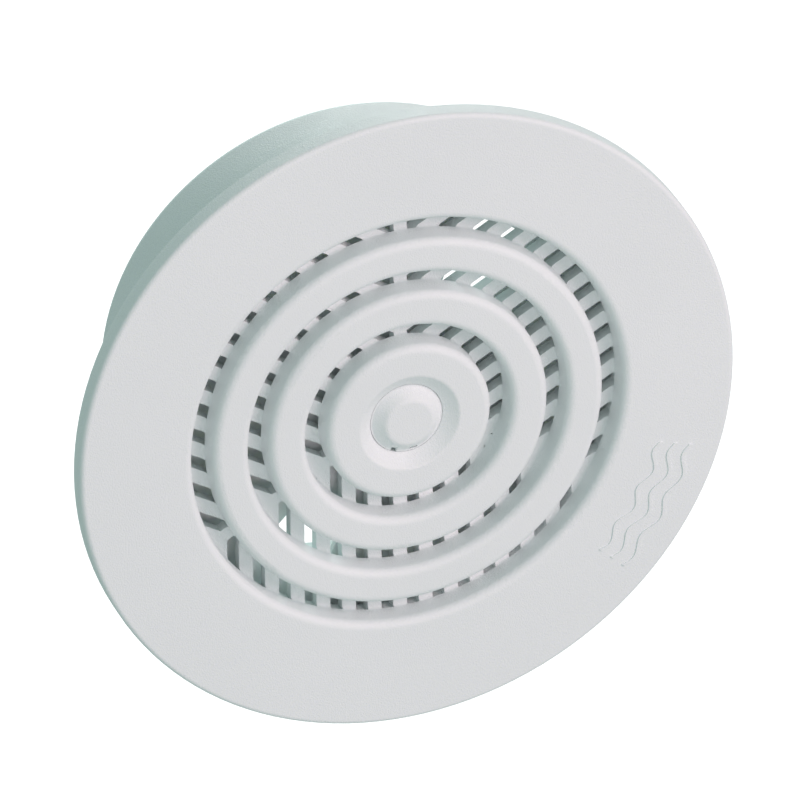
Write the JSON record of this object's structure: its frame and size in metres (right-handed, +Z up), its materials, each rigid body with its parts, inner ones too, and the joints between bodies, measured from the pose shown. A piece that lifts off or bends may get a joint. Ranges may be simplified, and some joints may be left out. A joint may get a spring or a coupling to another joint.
{
  "type": "ceiling air diffuser",
  "caption": "Round ceiling air diffuser: flat flange, concentric rings over cross bars, button-turned rotary shutter, duct spigot and sprung retaining clips.",
  "frame": {"origin": "centre of the flange's back plane, where it meets the ceiling board, on the diffuser's axis", "axes": "+Y along the axis from the face to the duct end of the spigot; +Z up when the face is upright, along the rib between two sectors of bars"},
  "size_m": [0.165, 0.0486, 0.165],
  "materials": {
    "white_plastic": "fine satin grain",
    "damper_plastic": "satin",
    "foam": "closed-cell foam",
    "zinc_steel": "zinc plated",
    "stainless": "rolled sheet",
    "spring_steel": "bright wire",
    "brass": "turned",
    "nylon": "natural nylon",
    "rubber": "matt"
  },
  "bodies": {
    "housing": {"face_grille": "white_plastic", "duct_collar": "white_plastic", "flange_gasket": "foam", "collar_screws": "zinc_steel", "damper_plate": "damper_plastic", "hub_bush": "brass", "thrust_washer": "nylon", "spring_washer": "spring_steel", "clip_rivets": "zinc_steel", "clip_bracket_upper": "stainless", "clip_pin_upper": "zinc_steel", "clip_spring_upper": "spring_steel", "clip_bracket_lower": "stainless", "clip_pin_lower": "zinc_steel", "clip_spring_lower": "spring_steel"},
    "shutter": {"control_knob": "white_plastic", "spindle": "zinc_steel", "shutter_vane": "damper_plastic", "retaining_clip": "spring_steel"},
    "upper_clip": {"clip_arm_upper": "stainless", "clip_pad_upper": "rubber"},
    "lower_clip": {"clip_arm_lower": "stainless", "clip_pad_lower": "rubber"}
  },
  "joints": [
    {"name": "knob_turn", "type": "hinge", "parent": "housing", "child": "shutter", "pos_m": [0, 0, 0], "axis": [0, 1, 0], "range_deg": [-66.5, 23.5]},
    {"name": "clip_upper_swing", "type": "hinge", "parent": "housing", "child": "upper_clip", "pos_m": [0.05802, 0.0189, 0.0335], "axis": [-0.5, 0, 0.866], "range_deg": [0, 132], "stiffness_Nm_per_rad": 0.04, "springref_deg": -34.38},
    {"name": "clip_lower_swing", "type": "hinge", "parent": "housing", "child": "lower_clip", "pos_m": [-0.05802, 0.0189, -0.0335], "axis": [0.5, 0, -0.866], "range_deg": [0, 132], "stiffness_Nm_per_rad": 0.04, "springref_deg": -34.38}
  ]
}
